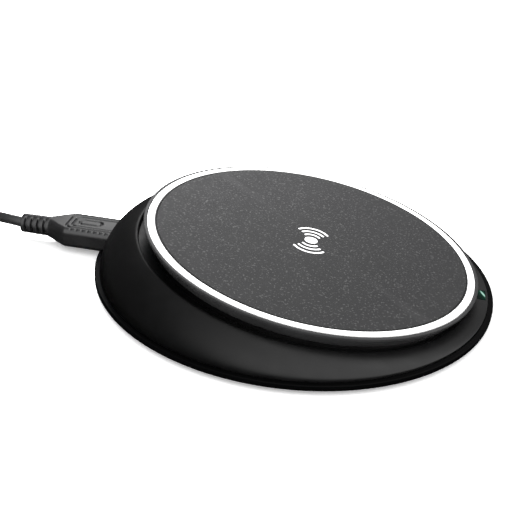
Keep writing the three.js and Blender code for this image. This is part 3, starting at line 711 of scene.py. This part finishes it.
def sleeve(name, width, height, wall, radius, x0, x1, holes, matrix):
    """A thin folded metal sleeve along X with latch holes, each (x, y, length, width)."""
    count = 96
    bore_width, bore_height = width - 2 * wall, height - 2 * wall
    outer = rounded_rectangle(width, height, radius, count)
    inner = rounded_rectangle(bore_width, bore_height, radius - wall, count)
    lip = wall * 0.3
    near_outer = rounded_rectangle(width - 2 * lip, height - 2 * lip, radius - lip * 0.5, count)
    near_inner = rounded_rectangle(bore_width + 2 * lip, bore_height + 2 * lip, radius - wall + lip * 0.5, count)
    loop = [(outer, x0 + lip), (outer, x1 - lip), (near_outer, x1), (near_inner, x1), (inner, x1 - lip),
            (inner, x0 + lip), (near_inner, x0), (near_outer, x0)]
    points, faces = skin([[(x, p.x, p.y) for p in section] for section, x in loop], closed=True)
    obj = blank(name, points, faces)
    carve(obj, [block(x - l / 2, x + l / 2, y - w / 2, y + w / 2, 0.1, height) for x, y, l, w in holes])
    obj.data.transform(Matrix.Translation(matrix.to_translation() * MM) @ matrix.to_3x3().to_4x4())
    obj.data.update()
    return obj


micro_metal = sleeve("micro_plug_sleeve", 6.85, 1.85, 0.22, 0.5, PLUG_FACE_X + 0.1, PLUG_FACE_X + 5.6,
                     [(PLUG_FACE_X + 3.4, 1.9, 1.0, 0.7), (PLUG_FACE_X + 3.4, -1.9, 1.0, 0.7)], at_plug)
piece(micro_metal, "cable", "plated_steel", "micro_plug_shell")

# The far plug is drawn along -X and then turned to point along -Y.
at_far_plug = Matrix.Translation((TAIL_X, 0, USB_A_Z)) @ Matrix.Rotation(math.pi / 2, 4, "Z")


def usb_a_relief(x, y):
    """A grooved outline for the thumb, with cross grooves inside it."""
    cut = groove(slot_outline(x, y, -51.2, -39.5, 5.6, 1.6), 0.3, 0.28)
    if abs(y) < 4.2 and -49.6 < x < -41.2:
        cut = max(cut, groove((x + 49.6) % 1.4 - 0.7, 0.34, 0.3))
    return cut


usb_a_grip = lofted("usb_a_grip", [
    (-34, 8.2, 5.3, 2.4), (-34.35, 8.9, 5.7, 2.5), (-35.5, 12.3, 7.0, 2.3), (-37, 15.0, 7.95, 2.0),
    (-38, USB_A_WIDTH, USB_A_HEIGHT, 1.8), (-53.5, USB_A_WIDTH, USB_A_HEIGHT, 1.8), (-53.85, 15.3, 7.7, 1.7),
    (-54, 14.8, 7.2, 1.6),
], 240, 0.16, usb_a_relief, at_far_plug)
piece(usb_a_grip, "cable", "cable_plastic", "usb_a_body")

bush_at = at_far_plug @ Matrix.Translation((USB_A_ROOT_X, 0, 0)) @ Matrix.Rotation(math.pi, 4, "Z")
usb_a_bush = strain_relief("usb_a_bush", 6.9, RELIEF_ROOT_RADIUS, 2.0, RELIEF_SLOTS, CABLE_RADIUS, bush_at)
piece(usb_a_bush, "cable", "cable_plastic", "usb_a_strain_relief")

usb_a_metal = sleeve("usb_a_sleeve", 12, 4.5, 0.3, 0.55, -66, -54.1,
                     [(-61, 2.4, 2.2, 1.9), (-61, -2.4, 2.2, 1.9)], at_far_plug)
piece(usb_a_metal, "cable", "plated_steel", "usb_a_shell")


def cable_tie():
    """A closed band round the winding."""
    half, thickness, width = 4.45, 0.5, 5.0
    count = 96
    centre = Vector((COIL_CENTRE.x, COIL_CENTRE.y - WINDING_RADIUS, 4.95))
    outer = rounded_rectangle(2 * (half + thickness), 2 * (half + thickness), 1.5, count)
    inner = rounded_rectangle(2 * half, 2 * half, 1.0, count)
    edge = width / 2
    loop = [(outer, -edge + 0.12), (outer, edge - 0.12), (inner, edge - 0.02), (inner, -edge + 0.02)]
    rings = [[centre + Vector((x, p.x, p.y)) for p in section] for section, x in loop]
    return blank("cable_tie_band", *skin(rings, closed=True))


piece(cable_tie(), "cable", "black_rubber", "cable_tie")


# ---------- casing ----------
def circle(radius, x, z, tilt):
    """A circle about (x, 0, z), tilted down towards +X, as a function of the angle round it."""
    slope = math.radians(tilt)
    return lambda a: Vector((
        x + radius * math.cos(a) * math.cos(slope),
        radius * math.sin(a),
        z - radius * math.cos(a) * math.sin(slope),
    ))


def domed(lower, upper, fraction):
    """An elliptical blend, upright at the lower circle, that bends by SKIRT_TURN by the upper one."""
    inward = (1 - math.cos(fraction * SKIRT_TURN)) / (1 - math.cos(SKIRT_TURN))
    rise = math.sin(fraction * SKIRT_TURN) / math.sin(SKIRT_TURN)

    def point(a):
        p, q = lower(a), upper(a)
        return Vector((p.x + (q.x - p.x) * inward, p.y + (q.y - p.y) * inward, p.z + (q.z - p.z) * rise))
    return point


def on_deck(radius, z):
    """A circle about the deck's axis, at a height over the deck."""
    return lambda a: DECK @ Vector((radius * math.cos(a), radius * math.sin(a), z))


def in_groove_plane(radius, drop):
    """Where a cylinder about the deck's axis meets the groove's floor, or the plane a drop below it."""
    def point(a):
        p = on_deck(radius, NECK_TOP)(a)
        p.z = GROOVE[2] - drop - (p.x - GROOVE[1]) * math.tan(math.radians(GROOVE[3]))
        return p
    return point


def plug_pocket():
    """The opening in the shells that takes the plug's grip."""
    section = rounded_rectangle(POCKET_WIDTH, POCKET_HEIGHT, POCKET_CORNER, 72)
    return bar_along_x(section, *POCKET_X, PLUG_Z)


def polar(distance, degrees):
    """The (x, y) place at a distance and an angle from the pad's centre."""
    return distance * math.cos(math.radians(degrees)), distance * math.sin(math.radians(degrees))


def skirt():
    """The top shell: a domed skirt, its shoulder, the groove's floor and the neck that carries the rim."""
    bend = circle(SKIRT_RADIUS, 0, SKIRT_BEND_Z, 0)
    shoulder = circle(*SHOULDER)
    inner_foot = circle(SKIRT_RADIUS - SKIRT_WALL, 0, SKIRT_BOTTOM_Z, 0)
    under_shelf = circle(GROOVE[0] - SHELF_SETBACK, GROOVE[1], GROOVE[2] - SHELF_THICKNESS, GROOVE[3])
    radius, x, z, tilt = SHOULDER
    edge = [circle(radius - EDGE_STEP * s, x, z - EDGE_DROP * s * s, tilt) for s in (1, 2)]
    rings = [
        circle(SKIRT_RADIUS, 0, SKIRT_BOTTOM_Z, 0),
        *[domed(bend, shoulder, s / 28) for s in range(28)],
        shoulder,
        *edge,
        circle(*GROOVE),
        in_groove_plane(NECK_RADIUS, 0),
        on_deck(NECK_RADIUS, NECK_TOP),
        on_deck(SHELF_INNER_RADIUS, NECK_TOP),
        in_groove_plane(SHELF_INNER_RADIUS, SHELF_THICKNESS),
        under_shelf,
        *[domed(inner_foot, under_shelf, s / 8) for s in range(7, 0, -1)],
        inner_foot,
    ]
    angles = [TAU * j / ROUND for j in range(ROUND)]
    obj = blank("skirt", *skin([[ring(a) for a in angles] for ring in rings], closed=True))
    half = WINDOW_HALF + WINDOW_GAP
    window = block(WINDOW_X[0] - WINDOW_GAP, WINDOW_X[1] + WINDOW_GAP, -half, half, 0, 5)
    carve(obj, [plug_pocket(), window])
    return obj


def base_dish():
    """The bottom shell: a dish with a rounded lip, screw wells, foot seats and the plug's notch."""
    dish = blank("base_dish", *turned([
        (0, UNDERSIDE_Z), (BASE_RADIUS, UNDERSIDE_Z, 0.35), (BASE_RADIUS, LIP_TOP_Z, 0.25),
        (LIP_INNER_RADIUS, LIP_TOP_Z, 0.1), (LIP_INNER_RADIUS, FLOOR_Z),
        (0, FLOOR_Z),
    ], steps=8))
    cutters = [plug_pocket()]
    for angle in CASE_SCREW_ANGLES:
        cutters.append(peg(*polar(CASE_SCREW_DISTANCE, angle), SCREW_WELL_RADIUS, 0, 5))
    for angle in FOOT_ANGLES:
        seat_top = UNDERSIDE_Z + FOOT_SEAT_DEPTH
        cutters.append(peg(*polar(FOOT_DISTANCE, angle), FOOT_RADIUS + FOOT_CLEARANCE, 0, seat_top, 64))
    carve(dish, cutters)
    return dish


piece(skirt(), "pad", "shell_plastic", "top_shell")
piece(base_dish(), "pad", "base_plastic", "bottom_shell")

piece(blank("rim_band", *turned([
    (RIM_BORE_RADIUS, RIM_BOTTOM), (40.36, RIM_BOTTOM, 0.2), (42.12, -0.66, 0.5), (RIM_RADIUS, RIM_TOP, 0.25),
    (CHANNEL_OUTER_RADIUS, RIM_TOP, 0.08), (CHANNEL_OUTER_RADIUS, CHANNEL_FLOOR, 0.05),
    (CHANNEL_INNER_RADIUS, CHANNEL_FLOOR, 0.05), (CHANNEL_INNER_RADIUS, RIM_TOP, 0.08),
    (PLATE_SEAT_RADIUS, RIM_TOP, 0.08), (PLATE_SEAT_RADIUS, LEDGE_TOP, 0.1), (LEDGE_RADIUS, LEDGE_TOP, 0.1),
    (LEDGE_RADIUS, LEDGE_BOTTOM, 0.1), (RIM_BORE_RADIUS, LEDGE_BOTTOM, 0.1),
]), DECK), "pad", "rim_plastic", "top_rim")

piece(blank("grip_band", *turned([
    (GRIP_INNER_RADIUS, GRIP_BOTTOM, 0.05), (41.22, GRIP_BOTTOM, 0.05), (41.27, -0.2, 0.2), (41.05, 0.04, 0.2),
    (39.75, 0.08, 0.2), (GRIP_INNER_RADIUS, -0.02, 0.1),
]), DECK), "pad", "white_silicone", "grip_ring")

piece(blank("charging_plate", *turned([
    (0, -PLATE_THICKNESS), (PLATE_RADIUS, -PLATE_THICKNESS, 0.05), (PLATE_RADIUS, -0.2, 0.1), (38.95, 0, 0.12),
    (38.3, 0), (0, 0),
]), DECK), "pad", "plate_plastic", "top_plate")


# ---------- printed mark ----------
MARK_CENTRE = (-0.34, -0.85)
MARK_DOT = 1.62
# each arc's radius, how far its centre is from the dot's, and half its angle
MARK_ARCS = ((2.47, 0.6, 45), (3.65, 1.05, 46), (4.55, 1.9, 53))
MARK_HALF_WIDTH = 0.27
MARK_HEIGHT = 0.03


def flat_print(name, outlines):
    """Thin raised prints on the plate, one for each outline of (x, y) points."""
    points, faces = [], []
    for outline in outlines:
        start, size = len(points), len(outline)
        for z in (-0.02, MARK_HEIGHT):
            points += [(MARK_CENTRE[0] + x, MARK_CENTRE[1] + y, z) for x, y in outline]
        faces.append(tuple(start + j for j in reversed(range(size))))
        faces.append(tuple(start + size + j for j in range(size)))
        for j in range(size):
            k = (j + 1) % size
            faces.append((start + j, start + k, start + size + k, start + size + j))
    return blank(name, points, faces, DECK)


def wave_arc(radius, offset, half_angle, side):
    """A round-ended band that is part of a circle centred off the dot."""
    outline = []
    for s in range(33):
        a = math.radians(half_angle * (s / 16 - 1))
        outline.append(((radius + MARK_HALF_WIDTH) * math.sin(a), (radius + MARK_HALF_WIDTH) * math.cos(a)))
    for end in (1, -1):
        tip = math.radians(half_angle * end)
        centre = (radius * math.sin(tip), radius * math.cos(tip))
        for s in range(1, 8):
            a = math.pi * s / 8
            out, along = math.cos(a) * MARK_HALF_WIDTH * end, math.sin(a) * MARK_HALF_WIDTH
            outline.append((centre[0] + out * math.sin(tip) + along * end * math.cos(tip),
                            centre[1] + out * math.cos(tip) - along * end * math.sin(tip)))
        if end == 1:
            for s in range(33):
                a = math.radians(half_angle * (1 - s / 16))
                inner = radius - MARK_HALF_WIDTH
                outline.append((inner * math.sin(a), inner * math.cos(a)))
    return [(x * side, (y + offset) * side) for x, y in outline]


dot = [(MARK_DOT * math.cos(TAU * j / 64), MARK_DOT * math.sin(TAU * j / 64)) for j in range(64)]
arcs = [wave_arc(*arc, side) for arc in MARK_ARCS for side in (1, -1)]
mark = flat_print("wave_mark", [dot, *arcs])
mark.data.materials.append(MATERIALS["mark_ink"])
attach(mark, "pad")


# ---------- light guide, feet and screws ----------
def light_window():
    """The light pipe's strip under the floor and its window, whose edges are rounded where it shows."""
    left, right = WINDOW_X
    edge = 0.12
    count = 32
    nick = edge * 0.3
    stations = [
        (PIPE_START_X, PIPE_STRIP_TOP, 0), (left, PIPE_STRIP_TOP, 0), (left, WINDOW_TOP - edge, 0),
        (left + nick, WINDOW_TOP - nick, 0.03), (left + edge, WINDOW_TOP, edge), (right - edge, WINDOW_TOP, edge),
        (right - nick, WINDOW_TOP - nick, 0.03), (right, WINDOW_TOP - edge, 0),
    ]
    rings = []
    for x, top, inset in stations:
        half = WINDOW_HALF - inset
        low = [(x, WINDOW_HALF * (1 - 2 * j / count), PIPE_BOTTOM) for j in range(count + 1)]
        high = [(x, half * (2 * j / count - 1), top) for j in range(count + 1)]
        rings.append(low + high)
    return blank("light_pipe", *skin(rings, closed=False))


piece(light_window(), "pad", "light_plastic", "light_guide")

for index, angle in enumerate(FOOT_ANGLES, start=1):
    name = f"rubber_foot_{index}"
    spot = Matrix.Translation((*polar(FOOT_DISTANCE, angle), 0))
    foot = blank(f"soft_foot_{index}", *turned([
        (0, 0.06), (2.6, 0.06, 0.1), (2.8, 0, 0.1), (3.7, 0, 0.3), (FOOT_RADIUS, 0.4, 0.3),
        (FOOT_RADIUS, FOOT_TOP, 0.1), (0, FOOT_TOP),
    ], segments=72), spot)
    piece(foot, "pad", "black_rubber", name)

for index, angle in enumerate(CASE_SCREW_ANGLES, start=1):
    x, y = polar(CASE_SCREW_DISTANCE, angle)
    screw = blank(f"cross_screw_{index}", *turned([
        (0, 1.45), (1.55, 1.47, 0.2), (1.9, 1.75, 0.2), (1.9, 2.45, 0.1), (1.0, 2.45, 0.1), (1.0, 5.3),
        (0.5, 5.8), (0, 5.8),
    ], segments=64))
    carve(screw, [block(-1.05, 1.05, -0.2, 0.2, 1.0, 2.0)])
    carve(screw, [block(-0.2, 0.2, -1.05, 1.05, 1.0, 2.0)])
    screw.data.transform(Matrix.Translation((x * MM, y * MM, 0)))
    piece(screw, "pad", "plated_steel", f"case_screw_{index}")


# ---------- floor and light ----------
EVEN_LIGHT = 1.55
FLOOR_GLOW = 0.25
HORIZON_FADE = -0.35
# the middle of each light (azimuth, elevation), the cosines at its edge and core, and its strength
SOFT_LIGHTS = (
    ((50, 28), -0.05, 0.8, 2.4),
    ((155, 56), 0.8, 0.97, 0.9),
    ((192, 27), 0.95, 0.995, 2.4),
    ((0, 90), -1.0, -0.9, 0.06),
)


def add_floor():
    """A plain pale floor that glossy surfaces don't show."""
    bpy.ops.mesh.primitive_circle_add(vertices=96, radius=4, fill_type="NGON")
    floor = bpy.context.object
    floor.name = "floor"
    material, tree_nodes, links, shader = new_material("floor")
    where = tree_nodes.new("ShaderNodeTexCoord").outputs["Object"]
    cloud = noise(tree_nodes, links, where, 2)
    tone = mixed(tree_nodes, links, cloud, (0.95, 0.95, 0.95), (0.97, 0.97, 0.97))
    links.new(tone, shader.inputs["Base Color"])
    shader.inputs["Roughness"].default_value = 0.9
    shader.inputs["Specular IOR Level"].default_value = 0.1
    shader.inputs["Emission Color"].default_value = (1, 1, 1, 1)
    shader.inputs["Emission Strength"].default_value = FLOOR_GLOW
    floor.data.materials.append(material)
    floor.visible_glossy = False


def direction(azimuth, elevation):
    """The unit vector towards a place in the sky. Azimuth 0 is in front, 90 to the right."""
    a, e = math.radians(azimuth), math.radians(elevation)
    return (math.sin(a) * math.cos(e), -math.cos(a) * math.cos(e), math.sin(e))


def add_softbox(name, azimuth, elevation, distance, width, height, power):
    """A soft light aimed at the pad that adds no highlight of its own."""
    back = Vector(direction(azimuth, elevation))
    data = bpy.data.lights.new(name, "AREA")
    data.shape = "ELLIPSE"
    data.size, data.size_y = width, height
    data.energy = power
    light = bpy.data.objects.new(name, data)
    light.visible_glossy = False
    light.location = back * distance
    light.rotation_mode = "QUATERNION"
    light.rotation_quaternion = back.to_track_quat("Z", "Y")
    bpy.context.scene.collection.objects.link(light)


def add_world():
    """Even white light all round. What gloss shows instead is a dark studio with a few large soft lights."""
    world = bpy.data.worlds.new("studio")
    world.use_nodes = True
    tree_nodes, links = world.node_tree.nodes, world.node_tree.links
    even = tree_nodes["Background"]
    even.inputs["Color"].default_value = (1, 1, 1, 1)
    even.inputs["Strength"].default_value = EVEN_LIGHT
    where = tree_nodes.new("ShaderNodeTexCoord").outputs["Generated"]
    total = None
    for centre, edge, core, strength in SOFT_LIGHTS:
        dot = tree_nodes.new("ShaderNodeVectorMath")
        dot.operation = "DOT_PRODUCT"
        dot.inputs[1].default_value = direction(*centre)
        links.new(where, dot.inputs[0])
        lobe = tree_nodes.new("ShaderNodeMapRange")
        lobe.interpolation_type = "SMOOTHSTEP"
        for socket, value in zip(("From Min", "From Max", "To Min", "To Max"), (edge, core, 0, strength)):
            lobe.inputs[socket].default_value = value
        links.new(dot.outputs["Value"], lobe.inputs["Value"])
        if total is None:
            total = lobe.outputs["Result"]
        else:
            add = tree_nodes.new("ShaderNodeMath")
            links.new(total, add.inputs[0])
            links.new(lobe.outputs["Result"], add.inputs[1])
            total = add.outputs["Value"]
    split = tree_nodes.new("ShaderNodeSeparateXYZ")
    links.new(where, split.inputs[0])
    above = tree_nodes.new("ShaderNodeMapRange")
    above.interpolation_type = "SMOOTHSTEP"
    above.inputs["From Min"].default_value = HORIZON_FADE
    above.inputs["From Max"].default_value = 0.0
    links.new(split.outputs["Z"], above.inputs["Value"])
    shown = tree_nodes.new("ShaderNodeMath")
    shown.operation = "MULTIPLY"
    links.new(total, shown.inputs[0])
    links.new(above.outputs["Result"], shown.inputs[1])
    lights = tree_nodes.new("ShaderNodeBackground")
    links.new(shown.outputs["Value"], lights.inputs["Strength"])
    choose = tree_nodes.new("ShaderNodeMixShader")
    links.new(tree_nodes.new("ShaderNodeLightPath").outputs["Is Glossy Ray"], choose.inputs[0])
    links.new(even.outputs["Background"], choose.inputs[1])
    links.new(lights.outputs["Background"], choose.inputs[2])
    links.new(choose.outputs["Shader"], tree_nodes["World Output"].inputs["Surface"])
    world.cycles.sampling_method = "NONE"
    bpy.context.scene.world = world


add_floor()
add_world()
add_softbox("plate_light", 225, 40, 0.2, 0.08, 0.08, 1.5)
bpy.context.scene.view_settings.view_transform = "Standard"
